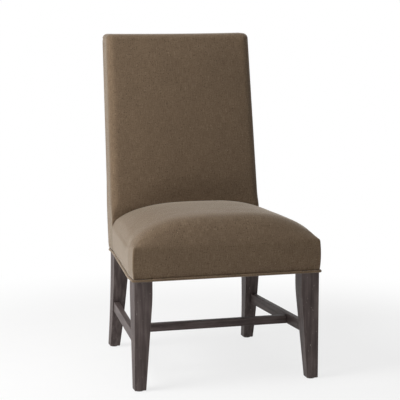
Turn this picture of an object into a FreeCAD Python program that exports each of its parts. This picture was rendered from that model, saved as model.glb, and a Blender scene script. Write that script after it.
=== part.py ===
import FreeCAD, Part
import math
import os
from FreeCAD import Vector

# Upholstered parsons dining chair on dark wooden legs with an H of stretchers.
# Millimetres. X runs across the chair, Y from front to back, Z up from the floor.
# The frame is laid out with Y = 0 on the front faces of the front legs. At the
# end everything moves so that the origin lies under the middle of the chair.

# Stance and heights
front_leg_outer_half = 282.0
rear_leg_outer_half = 244.0
rear_post_front_y = 459.0
welt_bottom_z = 326.0
overall_height = 1016.0
glide_height = 3.0

# Front legs: a straight block at the top, then a taper on the inner and rear faces
front_block_width = 54.0
front_block_depth = 60.0
front_foot_width = 34.0
front_foot_depth = 32.0
front_block_drop = 55.0
taper_ease_radius = 600.0
foot_chamfer = 1.2

# Rear posts: sabre leg below the seat, leaning back post above it
rear_leg_width = 50.0
rear_leg_depth = 56.0
rear_foot_width = 32.0
rear_foot_depth = 33.0
rear_sweep = 75.0
rear_sweep_radius = 1290.0
rear_taper_start_drop = 8.0
post_width = 44.0
post_top_drop = 24.0
post_notch_radius = 3.0
knee_bow = 6.0

# Seat frame
rail_height = 80.0
rail_thickness = 22.0
rail_drop = 2.0
rear_rail_back_inset = 0.5
tenon_length = 28.0
tenon_thickness = 9.0
tenon_shoulder = 10.0
joint_gap = 0.15

# Stretchers
stretcher_bottom_z = 129.0
side_stretcher_height = 32.0
side_stretcher_thickness = 17.5
side_stretcher_setback = 7.0
cross_stretcher_height = 25.0
cross_stretcher_thickness = 18.0
cross_stretcher_y = 190.0
stretcher_tenon_length = 20.0
stretcher_tenon_thickness = 8.0
stretcher_tenon_shoulder = 5.0
cross_tenon_length = 10.0

# Back frame
crest_height = 62.0
crest_thickness = 25.0
lower_rail_bottom_z = 492.0
lower_rail_height = 52.0

# Corner blocks and their screws
block_reach = 62.0
block_height = 56.0
block_drop = 12.0
screw_radius = 2.0
screw_hole_radius = 2.2
screw_head_width = 7.0
screw_head_height = 3.2
screw_pocket_radius = 5.0
screw_grip = 26.0
screw_bite = 17.0
screw_inset = 26.0

# Webbing and deck
web_width = 50.0
web_thickness = 1.2
seat_web_columns = 5
seat_web_column_pitch = 80.0
seat_web_rows = 4
seat_web_row_pitch = 88.0
seat_web_first_row_y = 92.0
web_end_inset = 4.0
back_web_rows = 5
back_web_first_rise = 46.0
back_web_last_drop = 4.0
deck_thickness = 0.8

# Seat upholstery
cover_thickness = 2.0
soft_gap = 0.4
seat_edge_height = 101.0
seat_crown = 77.0
seat_front_lip = 3.0
seat_roll_length = 60.0
seat_roll_power = 2.45
seat_crown_power = 3.3
seat_crown_softness = 0.9
seat_back_fall = 0.36
seat_fall_start_y = 240.0
side_bulge = 3.0
welt_diameter = 8.0
welt_gap = 0.3
welt_corner_cut = 2.4
welt_tail_inset = 1.0
dust_cover_thickness = 0.6
dust_cover_inset = 4.0
dust_cover_leg_gap = 1.0

# Back upholstery
back_front_y = 473.5
back_lean_slope = 0.1765
back_lean_start_z = 473.0
back_thickness = 88.0
back_half_top = 239.0
back_front_radius = 28.0
back_tight_radius = 3.2
back_rear_radius = 12.0
back_foam_depth = 36.0
back_belly_bow = 3.0
back_belly_top_z = 547.0
back_belly_bottom_z = 352.0
back_belly_bottom_y = 551.0
back_hem_z = 328.0
back_hem_y = 526.0
back_hem_curve_share = 0.25
back_round_start = 18.0
back_round_pull = 0.9
outside_back_wrap = 14.0
outside_back_seam = 0.4
liner_thickness = 3.0
liner_inset = 8.0
liner_top_drop = 1.0
rear_batting = 4.0
tack_strip_height = 12.0
tack_strip_thickness = 1.0
tack_strip_drop = 2.0

# Glides
glide_radius = 11.0
glide_nail_radius = 1.2
glide_nail_length = 14.0
glide_nail_gap = 0.1

# Tools that open a face run this far past it
over_cut = 20.0

# Levels and lines that follow from the sizes above
rail_bottom_z = welt_bottom_z + rail_drop
frame_top_z = rail_bottom_z + rail_height
taper_start_z = welt_bottom_z - front_block_drop
cover_offset = soft_gap + cover_thickness
back_half_low = rear_leg_outer_half + cover_offset
seat_edge_z = welt_bottom_z + seat_edge_height
cover_bottom_z = welt_bottom_z + welt_diameter + welt_gap
deck_bottom_z = frame_top_z + 2.0 * web_thickness
deck_top_z = deck_bottom_z + deck_thickness
back_tuck_z = deck_top_z + soft_gap
seat_end_y = back_front_y - soft_gap
post_height = overall_height - post_top_drop
rear_leg_back_y = rear_post_front_y + rear_leg_depth
rear_rail_front_y = rear_leg_back_y - rear_rail_back_inset - rail_thickness
rear_foot_front_y = rear_post_front_y + rear_sweep
crest_bottom_z = post_height - crest_height
back_web_first_z = lower_rail_bottom_z + lower_rail_height + back_web_first_rise
back_web_last_z = crest_bottom_z - back_web_last_drop
batting_top_z = post_height - tack_strip_drop - tack_strip_height - soft_gap
hem_curve_z = back_hem_z + back_hem_curve_share * (back_belly_bottom_z - back_hem_z)
back_levels = [back_hem_z, hem_curve_z, back_belly_bottom_z]
back_levels += [seat_edge_z, back_lean_start_z, back_belly_top_z]


def line(a, b):
    return Part.LineSegment(a, b).toShape()


def arc(a, middle, b):
    return Part.Arc(a, middle, b).toShape()


def polygon(points):
    # A closed wire of straight edges.
    return [line(a, b) for a, b in zip(points, points[1:] + points[:1])]


def slab(bottom, top):
    # Everything between two heights.
    reach = 2.0 * overall_height
    return Part.makeBox(2.0 * reach, 2.0 * reach, top - bottom, Vector(-reach, -reach, bottom))


def biggest(shape):
    return max(shape.Solids, key=lambda s: s.Volume)


def prism(edges, along):
    wire = Part.Wire(Part.__sortEdges__(edges))
    return Part.Face(wire).extrude(along)


def bowed(a, b, rise, towards):
    # An arc from a to b whose middle stands off the chord by rise.
    chord = b - a
    side = towards - chord * (towards.dot(chord) / chord.dot(chord))
    side.normalize()
    return arc(a, (a + b) * 0.5 + side * rise, b)


def sagitta(a, b, radius):
    half = (b - a).Length / 2.0
    return radius - math.sqrt(radius * radius - half * half)


def eased(a, corner, b, radius):
    # Edges from a to b with the corner between them rounded by an arc.
    into = (corner - a).normalize()
    out = (b - corner).normalize()
    turn = math.acos(max(-1.0, min(1.0, into.dot(out))))
    reach = radius * math.tan(turn / 2.0)
    start = corner - into * reach
    end = corner + out * reach
    bisector = (out - into).normalize()
    middle = corner + bisector * (radius / math.cos(turn / 2.0) - radius)
    return [line(a, start), arc(start, middle, end), line(end, b)]


def mirrored(shape):
    return shape.mirror(Vector(0, 0, 0), Vector(1, 0, 0))


def side_line_x(y, setback):
    # X of the slanting side of the chair, from front leg to rear post.
    start_y = front_block_depth
    span = rear_post_front_y - start_y
    ratio = min(1.0, max(0.0, (y - start_y) / span))
    lean = front_leg_outer_half - rear_leg_outer_half
    return front_leg_outer_half - lean * ratio - setback


def back_front(z):
    return back_front_y + back_lean_slope * max(0.0, z - back_lean_start_z)


def back_rear(z):
    # Outer rear surface of the back: hem, belly behind the seat, then the lean.
    belly_top_y = back_front(back_belly_top_z) + back_thickness
    if z >= back_belly_top_z:
        return back_front(z) + back_thickness
    if z >= back_belly_bottom_z:
        t = (z - back_belly_bottom_z) / (back_belly_top_z - back_belly_bottom_z)
        straight = back_belly_bottom_y + (belly_top_y - back_belly_bottom_y) * t
        return straight + back_belly_bow * 4.0 * t * (1.0 - t)
    t = (back_belly_bottom_z - z) / (back_belly_bottom_z - back_hem_z)
    tuck = back_belly_bottom_y - back_hem_y
    return back_belly_bottom_y - tuck * (1.0 - math.sqrt(max(0.0, 1.0 - t * t)))


def post_front(z):
    return back_front(z) + back_foam_depth


def post_back(z):
    covering = cover_thickness + soft_gap + rear_batting + liner_thickness
    return back_front(z) + back_thickness - covering


def post_outer_half(z):
    # Outer face of the post inside the upholstery.
    return back_half(z) - cover_offset


def back_half(z):
    t = (z - back_lean_start_z) / (overall_height - back_lean_start_z)
    t = min(1.0, max(0.0, t))
    return back_half_low + (back_half_top - back_half_low) * t


# Wooden pieces

def tapering_face(place, top_size, foot_size, top_z):
    # Straight block, easing arc and straight taper, down one face of a front leg.
    foot = place(foot_size, glide_height)
    return eased(place(top_size, top_z), place(top_size, taper_start_z), foot, taper_ease_radius)


def front_leg_blank():
    def across(inset, z):
        return Vector(front_leg_outer_half - inset, 0, z)

    def deep(depth, z):
        return Vector(front_leg_outer_half, depth, z)

    inner = tapering_face(across, front_block_width, front_foot_width, frame_top_z)
    front_view = inner + [
        line(across(front_foot_width, glide_height), across(0, glide_height)),
        line(across(0, glide_height), across(0, frame_top_z)),
        line(across(0, frame_top_z), across(front_block_width, frame_top_z)),
    ]
    rear = tapering_face(deep, front_block_depth, front_foot_depth, frame_top_z)
    side_view = rear + [
        line(deep(front_foot_depth, glide_height), deep(0, glide_height)),
        line(deep(0, glide_height), deep(0, frame_top_z)),
        line(deep(0, frame_top_z), deep(front_block_depth, frame_top_z)),
    ]
    body = prism(front_view, Vector(0, front_block_depth, 0))
    body = body.common(prism(side_view, Vector(-front_block_width, 0, 0)))
    return eased_foot(body)


def eased_foot(body):
    low = [e for e in body.Edges if e.BoundBox.ZMax < glide_height + 0.01]
    return body.makeChamfer(foot_chamfer, low)


def rear_post_profile():
    # Side view of the post in the plane X = 0, foot first.
    def at(y, z):
        return Vector(0, y, z)

    foot_front = at(rear_foot_front_y, glide_height)
    foot_back = at(rear_foot_front_y + rear_foot_depth, glide_height)
    leg_front = at(rear_post_front_y, welt_bottom_z)
    leg_back = at(rear_leg_back_y, welt_bottom_z)
    shoulder = at(rear_post_front_y, frame_top_z)
    notch = at(post_front(frame_top_z), frame_top_z)
    bend = at(post_front(back_lean_start_z), back_lean_start_z)
    top_front = at(post_front(post_height), post_height)
    top_back = at(post_back(post_height), post_height)
    knee_top = at(post_back(back_belly_top_z), back_belly_top_z)
    forward = Vector(0, -1, 0)
    backward = Vector(0, 1, 0)
    front_bow = sagitta(foot_front, leg_front, rear_sweep_radius)
    back_bow = sagitta(foot_back, leg_back, rear_sweep_radius)
    edges = [bowed(foot_front, leg_front, front_bow, forward), line(leg_front, shoulder)]
    edges += eased(shoulder, notch, bend, post_notch_radius)
    edges += [
        line(bend, top_front),
        line(top_front, top_back),
        line(top_back, knee_top),
        bowed(knee_top, leg_back, knee_bow, backward),
        bowed(leg_back, foot_back, back_bow, forward),
        line(foot_back, foot_front),
    ]
    return edges


def rear_post_blank():
    inner_leg_x = rear_leg_outer_half - rear_leg_width
    inner_foot_x = rear_leg_outer_half - rear_foot_width
    taper_top_z = welt_bottom_z - rear_taper_start_drop
    top_x = post_outer_half(post_height)
    outline = [
        Vector(rear_leg_outer_half, 0, glide_height),
        Vector(rear_leg_outer_half, 0, back_lean_start_z),
        Vector(top_x, 0, post_height),
        Vector(top_x - post_width, 0, post_height),
        Vector(rear_leg_outer_half - post_width, 0, back_lean_start_z),
        Vector(inner_leg_x, 0, frame_top_z),
        Vector(inner_leg_x, 0, taper_top_z),
        Vector(inner_foot_x, 0, glide_height),
    ]
    reach = rear_foot_front_y + rear_foot_depth + back_thickness
    front_view = prism(polygon(outline), Vector(0, reach, 0))
    side_view = prism(rear_post_profile(), Vector(rear_leg_outer_half, 0, 0))
    return eased_foot(side_view.common(front_view))


def plan_bar(outer, inner, bottom, height, start_y, end_y):
    # A bar that follows the slanting side of the chair, its ends square to Y.
    corners = [
        Vector(side_line_x(start_y, outer), start_y, bottom),
        Vector(side_line_x(end_y, outer), end_y, bottom),
        Vector(side_line_x(end_y, inner), end_y, bottom),
        Vector(side_line_x(start_y, inner), start_y, bottom),
    ]
    return prism(polygon(corners), Vector(0, 0, height))


def straight_bar(start, end, across, bottom, height):
    # A bar in plan from start to end, given as X and Y of its outer face.
    inward = Vector(-across, 0, 0)
    corners = [start, end, end + inward, start + inward]
    corners = [Vector(c.x, c.y, bottom) for c in corners]
    return prism(polygon(corners), Vector(0, 0, height))


def side_rail_parts():
    body = plan_bar(0, rail_thickness, rail_bottom_z, rail_height,
                    front_block_depth, rear_post_front_y)
    start = Vector(side_line_x(front_block_depth, 0), front_block_depth, 0)
    end = Vector(side_line_x(rear_post_front_y, 0), rear_post_front_y, 0)
    return body, tenons_in_line(start, end)


def tenons_in_line(start, end):
    # The rail's tenons run on along its own slant into the leg and the post.
    along = (end - start).normalize()
    first = start - along * tenon_length
    last = end + along * tenon_length
    cheek = (rail_thickness - tenon_thickness) / 2.0
    bottom = rail_bottom_z + tenon_shoulder
    height = rail_height - 2.0 * tenon_shoulder

    def bar(grow):
        side = Vector(cheek - grow, 0, 0)
        a = first - side - along * grow
        b = last - side + along * grow
        return straight_bar(a, b, tenon_thickness + 2.0 * grow, bottom - grow, height + 2.0 * grow)

    return bar(0.0), bar(joint_gap)


def cross_box(half_length, y, depth, bottom, height):
    return Part.makeBox(2.0 * half_length, depth, height, Vector(-half_length, y, bottom))


def front_rail_parts():
    shoulder_x = front_leg_outer_half - front_block_width
    return cross_rail_parts(shoulder_x, 0.0)


def rear_rail_parts():
    shoulder_x = rear_leg_outer_half - rear_leg_width
    return cross_rail_parts(shoulder_x, rear_rail_front_y)


def cross_rail_parts(shoulder_x, front_y):
    cheek = (rail_thickness - tenon_thickness) / 2.0
    body = cross_box(shoulder_x, front_y, rail_thickness, rail_bottom_z, rail_height)

    def bar(grow):
        return cross_box(shoulder_x + tenon_length + grow, front_y + cheek - grow,
                         tenon_thickness + 2.0 * grow, rail_bottom_z + tenon_shoulder - grow,
                         rail_height - 2.0 * tenon_shoulder + 2.0 * grow)

    return body.fuse(bar(0.0)).removeSplitter(), bar(joint_gap)


def leaning_bar(half_length, front_inset, thickness, bottom, top):
    # A bar across the chair whose faces follow the lean of the posts.
    corners = [
        Vector(-half_length, post_front(bottom) + front_inset, bottom),
        Vector(-half_length, post_front(top) + front_inset, top),
        Vector(-half_length, post_front(top) + front_inset + thickness, top),
        Vector(-half_length, post_front(bottom) + front_inset + thickness, bottom),
    ]
    return prism(polygon(corners), Vector(2.0 * half_length, 0, 0))


def back_rail_parts(bottom, height):
    # Rail between the posts, its ends scribed to their inner faces.
    top = bottom + height
    reach = post_outer_half(bottom) - post_width / 2.0
    body = leaning_bar(reach, 0.0, crest_thickness, bottom, top)
    cheek = (crest_thickness - tenon_thickness) / 2.0
    long_reach = post_outer_half(top) - post_width + tenon_length

    def bar(grow):
        return leaning_bar(long_reach + grow, cheek - grow, tenon_thickness + 2.0 * grow,
                           bottom + tenon_shoulder - grow, top - tenon_shoulder + grow)

    return body, bar(0.0), bar(joint_gap)


def side_stretcher_parts(leg, post):
    # Scribed between the leg and the post, with a tenon into each.
    outer = side_stretcher_setback
    start_y = front_foot_depth
    end_y = rear_foot_front_y
    start = Vector(front_leg_outer_half - outer, start_y, 0)
    end = Vector(rear_leg_outer_half - outer, end_y, 0)
    blank = straight_bar(start, end, side_stretcher_thickness,
                         stretcher_bottom_z, side_stretcher_height)
    body = biggest(blank.cut(leg).cut(post))
    box = body.BoundBox
    slope = (end.x - start.x) / (end_y - start_y)
    cheek = (side_stretcher_thickness - stretcher_tenon_thickness) / 2.0

    def bar(grow):
        first_y = box.YMin - stretcher_tenon_length - grow
        last_y = box.YMax + stretcher_tenon_length + grow
        first = Vector(start.x + slope * (first_y - start_y) - cheek + grow, first_y, 0)
        last = Vector(start.x + slope * (last_y - start_y) - cheek + grow, last_y, 0)
        bottom = stretcher_bottom_z + stretcher_tenon_shoulder - grow
        height = side_stretcher_height - 2.0 * stretcher_tenon_shoulder + 2.0 * grow
        return straight_bar(first, last, stretcher_tenon_thickness + 2.0 * grow, bottom, height)

    return body.fuse(bar(0.0)).removeSplitter(), bar(joint_gap)


def cross_stretcher_parts(side_stretcher):
    box = side_stretcher.BoundBox
    blank = cross_box(box.XMax, cross_stretcher_y, cross_stretcher_thickness,
                      stretcher_bottom_z, cross_stretcher_height)
    body = biggest(blank.cut(side_stretcher).cut(mirrored(side_stretcher)))
    cheek = (cross_stretcher_thickness - stretcher_tenon_thickness) / 2.0

    def bar(grow):
        return cross_box(body.BoundBox.XMax + cross_tenon_length + grow,
                         cross_stretcher_y + cheek - grow,
                         stretcher_tenon_thickness + 2.0 * grow,
                         stretcher_bottom_z + stretcher_tenon_shoulder - grow,
                         cross_stretcher_height - 2.0 * stretcher_tenon_shoulder + 2.0 * grow)

    return body.fuse(bar(0.0)).removeSplitter(), bar(joint_gap)


# Corner blocks: gussets notched round the leg, each held by two hexagon-headed screws

def hexagon(centre, along, width):
    # A six-sided head whose width is taken across its flats.
    up = Vector(0, 0, 1)
    side = along.cross(up).normalize()
    reach = width / math.sqrt(3.0)
    corners = []
    for i in range(6):
        turn = math.radians(60.0 * i)
        corners.append(centre + side * (reach * math.cos(turn)) + up * (reach * math.sin(turn)))
    return prism(polygon(corners), along)


def block_and_screws(corner, cross_rail_y, towards_middle):
    # corner is the leg's inner corner in plan, towards_middle is +1 at the front.
    leg_x = corner.x - joint_gap
    leg_y = corner.y + towards_middle * joint_gap
    rail_y = cross_rail_y + towards_middle * joint_gap
    far_x = leg_x - block_reach
    far_y = leg_y + towards_middle * block_reach
    rail_x_near = side_line_x(leg_y, rail_thickness) - joint_gap
    rail_x_far = side_line_x(far_y, rail_thickness) - joint_gap
    bottom = frame_top_z - block_drop - block_height
    plan = [
        Vector(far_x, rail_y, bottom),
        Vector(leg_x, rail_y, bottom),
        Vector(leg_x, leg_y, bottom),
        Vector(rail_x_near, leg_y, bottom),
        Vector(rail_x_far, far_y, bottom),
    ]
    block = prism(polygon(plan), Vector(0, 0, block_height))
    middle_z = bottom + block_height / 2.0
    to_cross_rail = Vector(0, -towards_middle, 0)
    on_cross_rail = Vector(far_x + screw_inset, rail_y, middle_z)
    slant = Vector(rail_x_far - rail_x_near, far_y - leg_y, 0).normalize()
    to_side_rail = Vector(slant.y, -slant.x, 0) * towards_middle
    side_foot = Vector(rail_x_far, far_y, middle_z) - slant * screw_inset
    screws = []
    holes = []
    for foot, into in ((on_cross_rail, to_cross_rail), (side_foot, to_side_rail)):
        seat = foot - into * screw_grip
        tip = foot + into * screw_bite
        length = (tip - seat).Length
        shank = Part.makeCylinder(screw_radius, length, seat, into)
        head = hexagon(seat, into * -screw_head_height, screw_head_width)
        screws.append(shank.fuse(head).removeSplitter())
        pocket = Part.makeCylinder(screw_pocket_radius, block_reach, seat - into * block_reach, into)
        hole = Part.makeCylinder(screw_hole_radius, length + joint_gap, seat, into)
        block = block.cut(pocket).cut(hole)
        holes.append(hole)
    return block, screws, holes


# Webbing, deck and dust cover

def seat_web_lengthwise():
    first = -(seat_web_columns - 1) / 2.0
    length = rear_leg_back_y - 2.0 * web_end_inset
    straps = []
    for i in range(seat_web_columns):
        x = (first + i) * seat_web_column_pitch - web_width / 2.0
        corner = Vector(x, web_end_inset, frame_top_z)
        straps.append(Part.makeBox(web_width, length, web_thickness, corner))
    return straps


def seat_web_crosswise():
    straps = []
    for i in range(seat_web_rows):
        y = seat_web_first_row_y + i * seat_web_row_pitch
        near = side_line_x(y, web_end_inset)
        far = side_line_x(y + web_width, web_end_inset)
        z = frame_top_z + web_thickness
        plan = [
            Vector(-near, y, z),
            Vector(near, y, z),
            Vector(far, y + web_width, z),
            Vector(-far, y + web_width, z),
        ]
        straps.append(prism(polygon(plan), Vector(0, 0, web_thickness)))
    return straps


def frame_plan(inset, end_y, z):
    # Outline of the seat frame in plan, set in from its faces.
    plan = [
        Vector(front_leg_outer_half - inset, inset, z),
        Vector(front_leg_outer_half - inset, front_block_depth, z),
        Vector(side_line_x(rear_post_front_y, inset), rear_post_front_y, z),
        Vector(side_line_x(rear_post_front_y, inset), end_y, z),
    ]
    other = [Vector(-p.x, p.y, p.z) for p in reversed(plan)]
    return plan + other


def seat_deck():
    end_y = post_front(frame_top_z) - soft_gap
    return prism(polygon(frame_plan(web_end_inset, end_y, deck_bottom_z)),
                 Vector(0, 0, deck_thickness))


def dust_cover(leg, post):
    bottom = rail_bottom_z - dust_cover_thickness
    end_y = rear_leg_back_y - dust_cover_inset
    sheet = prism(polygon(frame_plan(dust_cover_inset, end_y, bottom)),
                  Vector(0, 0, dust_cover_thickness))
    gap = dust_cover_leg_gap
    for member in (leg, post):
        box = member.common(slab(bottom, rail_bottom_z)).BoundBox
        notch = Part.makeBox(box.XLength + 2.0 * gap, box.YLength + 2.0 * gap, 2.0 * over_cut,
                             Vector(box.XMin - gap, box.YMin - gap, bottom - over_cut))
        sheet = sheet.cut(notch).cut(mirrored(notch))
    return sheet


# Soft pieces

def seat_crown_at(y):
    # Height of the crown over the seat's edge at the middle of the seat.
    if y <= 0:
        return seat_front_lip
    roll = min(1.0, y / seat_roll_length)
    rise = 1.0 - (1.0 - roll) ** seat_roll_power
    back = max(0.0, y - seat_fall_start_y) / (back_front_y - seat_fall_start_y)
    return max(seat_front_lip, seat_crown * rise * (1.0 - seat_back_fall * back * back))


def seat_section(y, inset, bottom):
    # Section across the seat: flat bottom, slightly full sides, crowned top.
    half = side_line_x(y, -cover_offset) - inset
    edge = seat_edge_z - inset
    crown = seat_crown_at(y + cover_offset - inset)

    def top(share):
        lift = (1.0 - abs(share) ** seat_crown_power) ** seat_crown_softness
        return Vector(half * share, y, edge + crown * lift)

    side_middle = (bottom + edge) / 2.0
    full = side_bulge * min(1.0, (edge - bottom) / seat_edge_height)
    right = arc(Vector(half, y, bottom), Vector(half + full, y, side_middle), top(1.0))
    left = arc(top(-1.0), Vector(-half - full, y, side_middle), Vector(-half, y, bottom))
    crown_shares = [1.0, 0.93, 0.8, 0.62, 0.42, 0.0, -0.42, -0.62, -0.8, -0.93, -1.0]
    edges = [right]
    for i in range(0, len(crown_shares) - 2, 2):
        a, m, b = crown_shares[i:i + 3]
        edges.append(arc(top(a), top(m), top(b)))
    edges.append(left)
    edges.append(line(Vector(-half, y, bottom), Vector(half, y, bottom)))
    return Part.Wire(edges)


def seat_body(inset, bottom, past_end):
    # Cover, hollow and foam share these stations, so that they nest.
    stations = [inset - cover_offset]
    stations += [seat_roll_length * share for share in (0.06, 0.17, 0.36, 0.64)]
    level_middle = (front_block_depth + seat_fall_start_y) / 2.0
    stations += [front_block_depth, level_middle, seat_fall_start_y]
    fall = rear_post_front_y - seat_fall_start_y
    stations += [seat_fall_start_y + fall * share for share in (0.4, 0.75)]
    stations += [rear_post_front_y, seat_end_y]
    if past_end:
        stations.append(seat_end_y + over_cut)
    return Part.makeLoft([seat_section(y, inset, bottom) for y in stations], True, True)


def opening_radius(z):
    # The cover's front corners: tight beside the seat, full above it.
    share = (z - seat_edge_z) / (back_lean_start_z - seat_edge_z)
    share = min(1.0, max(0.0, share))
    return back_tight_radius + (back_front_radius - back_tight_radius) * share


def back_section(z, inset, shrink, radius):
    # Rounded oblong across the back at one height.
    pull = inset + shrink
    half = back_half(z) - pull
    front = back_front(z) + pull
    rear = back_rear(z) - pull
    front_r = max(1.0, radius - inset)
    rear_r = back_rear_radius - inset
    diagonal = 1.0 - math.sqrt(0.5)

    def at(x, y):
        return Vector(x, y, z)

    def corner(a, sx, edge_y, sy, r, b):
        middle = at(sx * (half - r * diagonal), edge_y + sy * r * diagonal)
        return arc(a, middle, b)

    fl = at(-half + front_r, front)
    fr = at(half - front_r, front)
    rf = at(half, front + front_r)
    rr = at(half, rear - rear_r)
    br = at(half - rear_r, rear)
    bl = at(-half + rear_r, rear)
    lr = at(-half, rear - rear_r)
    lf = at(-half, front + front_r)
    return Part.Wire([
        line(fl, fr),
        corner(fr, 1, front, 1, front_r, rf),
        line(rf, rr),
        corner(rr, 1, rear, -1, rear_r, br),
        line(br, bl),
        corner(bl, -1, rear, -1, rear_r, lr),
        line(lr, lf),
        corner(lf, -1, front, 1, front_r, fl),
    ])


def back_rounded_top(inset):
    # Sections that draw the top in, from the last straight one up.
    top = overall_height - inset
    sections = [back_section(top - back_round_start, inset, 0.0, back_front_radius)]
    for share in (0.5, 0.85, 1.0):
        drop = back_round_start * (1.0 - math.sqrt(1.0 - share * share))
        z = top - back_round_start * (1.0 - share)
        sections.append(back_section(z, inset, drop * back_round_pull, back_front_radius))
    return sections


def back_body(inset):
    # Straight-sided loft up the back, closed by a rounded top.
    sections = [back_section(z, inset, 0.0, opening_radius(z)) for z in back_levels]
    return Part.makeLoft(sections + back_rounded_top(inset), True, True)


def zone_behind(profile, bottom, top):
    # Everything behind a line given as Y over Z, across the whole width.
    across = -front_leg_outer_half
    far_y = back_rear(overall_height) + back_thickness
    points = [Vector(across, y, z) for y, z in profile]
    points += [Vector(across, far_y, top), Vector(across, far_y, bottom)]
    return prism(polygon(points), Vector(-2.0 * across, 0, 0))


def outside_zone(offset, bottom, top):
    # What the outside back panel takes of the cover: it wraps round by offset.
    hem_y = back_hem_y - outside_back_wrap / 2.0
    profile = [(hem_y, bottom), (hem_y, back_hem_z + outside_back_wrap)]
    middle = (back_belly_bottom_z + back_belly_top_z) / 2.0
    for z in (back_belly_bottom_z, middle, back_belly_top_z, top):
        profile.append((back_rear(z) - offset, z))
    return zone_behind(profile, bottom, top)


def post_zone(offset, bottom, top):
    # Everything behind the posts' front faces.
    profile = [(post_front(z) + offset, z) for z in (bottom, back_lean_start_z, top)]
    return zone_behind(profile, bottom, top)


def back_covers():
    hollow = back_body(cover_thickness)
    foot = back_section(back_hem_z, cover_thickness, 0.0, back_tight_radius)
    hollow = hollow.fuse(Part.Face(foot).extrude(Vector(0, 0, -over_cut)))
    shell = back_body(0.0).cut(hollow)
    opening = Part.makeBox(2.0 * (back_half_low - cover_thickness), cover_offset + over_cut,
                           back_tuck_z - back_hem_z,
                           Vector(cover_thickness - back_half_low, back_front_y - over_cut, back_hem_z))
    gap_depth = rear_leg_back_y + cover_offset - back_front_y + over_cut
    hem_gap = Part.makeBox(4.0 * front_leg_outer_half, gap_depth, cover_bottom_z - back_hem_z,
                           Vector(-2.0 * front_leg_outer_half, back_front_y - over_cut, back_hem_z))
    shell = shell.cut(opening).cut(hem_gap)
    seam_top = overall_height - back_round_start
    outside = shell.common(outside_zone(outside_back_wrap - outside_back_seam, back_hem_z, seam_top))
    front = shell.cut(outside_zone(outside_back_wrap, back_hem_z - over_cut, seam_top))
    return biggest(front), biggest(outside)


def back_foam():
    levels = [deck_top_z, back_lean_start_z, back_belly_top_z]
    sections = [back_section(z, cover_offset, 0.0, back_front_radius) for z in levels]
    body = Part.makeLoft(sections + back_rounded_top(cover_offset), True, True)
    return biggest(body.cut(post_zone(-web_thickness, frame_top_z, post_height + soft_gap)))


def post_back_line(offset, top):
    # Edges up the posts' rear faces, moved back by offset.
    leg_back = Vector(0, rear_leg_back_y + offset, welt_bottom_z)
    knee_top = Vector(0, post_back(back_belly_top_z) + offset, back_belly_top_z)
    end = Vector(0, post_back(top) + offset, top)
    return leg_back, end, [bowed(leg_back, knee_top, knee_bow, Vector(0, 1, 0)), line(knee_top, end)]


def rear_layer(offset, thickness, half, top):
    # A sheet that lies along the rear faces of the posts.
    near_low, near_top, near = post_back_line(offset, top)
    far_low, far_top, far = post_back_line(offset + thickness, top)
    edges = near + far + [line(near_top, far_top), line(far_low, near_low)]
    sheet = prism(edges, Vector(2.0 * half, 0, 0))
    sheet.translate(Vector(-half, 0, 0))
    return sheet.cut(slab(0.0, cover_bottom_z))


def back_batting():
    # Fills the belly between the liner and the outside cover.
    liner_low, liner_top, near = post_back_line(liner_thickness, batting_top_z)
    levels = [z for z in back_levels if z > back_hem_z] + [batting_top_z]
    rear = [Vector(0, back_rear(z) - cover_offset, z) for z in levels]
    low = Vector(0, rear[0].y, welt_bottom_z)
    outline = [liner_low, low] + rear + [liner_top]
    edges = near + [line(a, b) for a, b in zip(outline, outline[1:])]
    half = post_outer_half(batting_top_z) - back_rear_radius
    sheet = prism(edges, Vector(2.0 * half, 0, 0))
    sheet.translate(Vector(-half, 0, 0))
    return sheet.cut(slab(0.0, cover_bottom_z))


def seat_welt():
    # Cord along the front and both sides, mitred round the leg and at the bends.
    radius = welt_diameter / 2.0
    out = radius + welt_gap
    z = welt_bottom_z + radius
    side_x = front_leg_outer_half + out
    post_x = rear_leg_outer_half + out
    path = [
        Vector(side_x - welt_corner_cut, -out, z),
        Vector(side_x, welt_corner_cut - out, z),
        Vector(side_x, front_block_depth, z),
        Vector(post_x, rear_post_front_y, z),
        Vector(post_x, rear_leg_back_y - welt_tail_inset, z),
    ]
    path = [Vector(-p.x, p.y, p.z) for p in reversed(path)] + path
    wire = Part.Wire([line(a, b) for a, b in zip(path, path[1:])])
    circle = Part.makeCircle(radius, path[0], path[1] - path[0])
    return wire.makePipeShell([Part.Wire(circle)], True, True, 1)


def glide_at(x, y):
    nail = Part.makeCylinder(glide_nail_radius, glide_nail_length, Vector(x, y, glide_height))
    disc = Part.makeCylinder(glide_radius, glide_height, Vector(x, y, 0))
    return disc.fuse(nail).removeSplitter()


def back_web():
    pitch = (back_web_last_z - back_web_first_z) / (back_web_rows - 1)
    straps = []
    for i in range(back_web_rows):
        bottom = back_web_first_z + i * pitch - web_width / 2.0
        half = post_outer_half(bottom + web_width) - web_end_inset
        straps.append(leaning_bar(half, -web_thickness, web_thickness, bottom, bottom + web_width))
    return straps


def tack_strip():
    top = post_height - tack_strip_drop
    half = post_outer_half(top) - liner_inset
    offset = post_back(top) - post_front(top) + liner_thickness
    return leaning_bar(half, offset, tack_strip_thickness, top - tack_strip_height, top)


def save(name, shape, shift):
    if isinstance(shape, list):
        shape = Part.makeCompound(shape)
    placed = shape.copy()
    placed.translate(shift)
    placed.exportStep("parts/" + name + ".step")
    print(name, len(placed.Solids), round(placed.Volume / 1000.0, 2), placed.isValid())


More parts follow.
